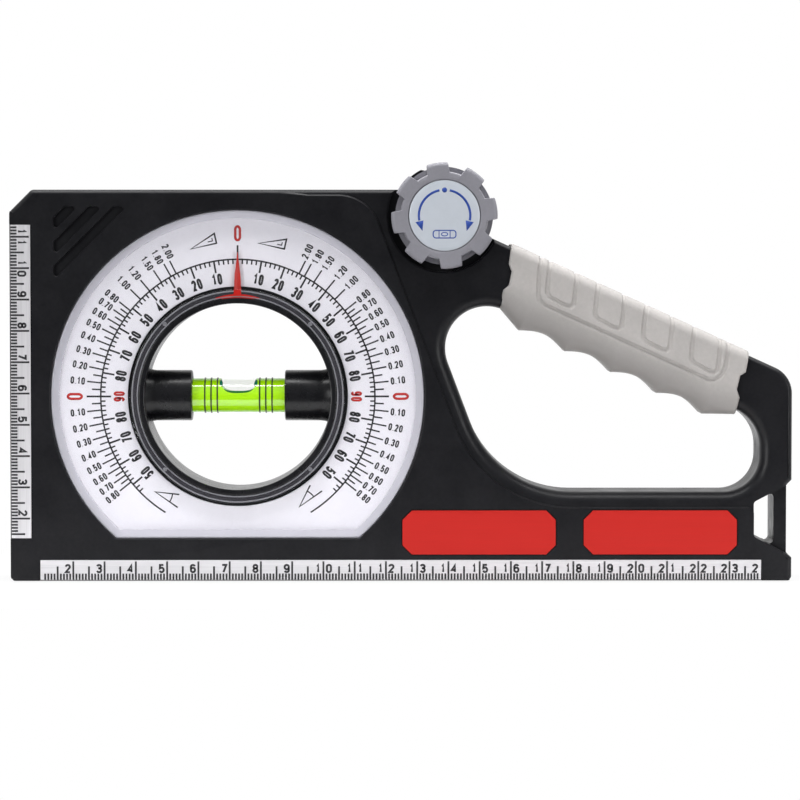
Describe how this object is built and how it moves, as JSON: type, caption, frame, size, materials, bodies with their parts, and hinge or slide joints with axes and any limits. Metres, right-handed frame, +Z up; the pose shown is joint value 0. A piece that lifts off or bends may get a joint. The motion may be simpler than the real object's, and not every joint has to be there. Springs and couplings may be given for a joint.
{
  "type": "slope ruler",
  "caption": "Flat ruler body with a gripped handle, a fixed angle dial, and a level vial in a ring that a knob turns through gears.",
  "frame": {"origin": "on the flat base, below the middle of the body's length and halfway through its depth", "axes": "+X along the base towards the handle, +Y back away from the dial, +Z up from the base"},
  "size_m": [0.25, 0.0328, 0.1336],
  "materials": {
    "case_plastic": "fine moulded texture",
    "dial_white": "smooth printed",
    "clear_plastic": "clear, polished",
    "brushed_metal": "brushed",
    "red_plate": "printed",
    "ring_black": "glossy",
    "gear_nylon": "smooth nylon",
    "pointer_red": "glossy",
    "level_fluid": "clear liquid",
    "knob_grey": "moulded",
    "knob_label": "printed film",
    "washer_rubber": "smooth",
    "grip_grey": "fine moulded texture",
    "steel": "bright zinc",
    "magnet_nickel": "nickel plated"
  },
  "bodies": {
    "case": {"front_shell": "case_plastic", "rear_shell": "case_plastic", "dial_plate": "dial_white", "dial_lens": "clear_plastic", "bottom_scale": "brushed_metal", "side_scale": "brushed_metal", "red_label_1": "red_plate", "red_label_2": "red_plate", "grip_front": "grip_grey", "grip_rear": "grip_grey", "case_screw_1": "steel", "case_screw_2": "steel", "case_screw_3": "steel", "case_screw_4": "steel", "case_screw_5": "steel", "case_screw_6": "steel", "case_screw_7": "steel", "case_screw_8": "steel", "case_screw_9": "steel", "grip_screw_1": "steel", "grip_screw_2": "steel", "grip_screw_3": "steel", "base_magnet_1": "magnet_nickel", "base_magnet_2": "magnet_nickel", "base_magnet_3": "magnet_nickel", "base_magnet_4": "magnet_nickel", "idler_pin": "steel", "knob_washer": "washer_rubber"},
    "ring": {"vial_ring_front": "ring_black", "vial_ring_rear": "ring_black", "ring_gear": "gear_nylon", "ring_screw_1": "steel", "ring_screw_2": "steel", "ring_screw_3": "steel", "ring_screw_4": "steel", "pointer": "pointer_red", "clear_ring": "clear_plastic", "vial_tube": "clear_plastic", "vial_plug": "ring_black", "vial_fluid": "level_fluid"},
    "idler": {"idler_gear": "gear_nylon"},
    "knob": {"drive_pinion": "gear_nylon", "knob": "knob_grey", "knob_label": "knob_label", "knob_screw": "steel"}
  },
  "joints": [
    {"name": "ring_turn", "type": "hinge", "parent": "case", "child": "ring", "pos_m": [-0.0524, 0, 0.0589], "axis": [0, -1, 0], "range_deg": [-150, 150]},
    {"name": "idler_turn", "type": "hinge", "parent": "case", "child": "idler", "pos_m": [-0.00333, 0, 0.09471], "axis": [0, -1, 0], "range_deg": [-429, 429]},
    {"name": "knob_turn", "type": "hinge", "parent": "case", "child": "knob", "pos_m": [0.0136, 0, 0.1167], "axis": [0, -1, 0], "range_deg": [-563, 563]}
  ],
  "couplings": [
    {"joint": "idler_turn", "follows": "ring_turn", "ratio": -2.8571},
    {"joint": "knob_turn", "follows": "ring_turn", "ratio": 3.75}
  ]
}
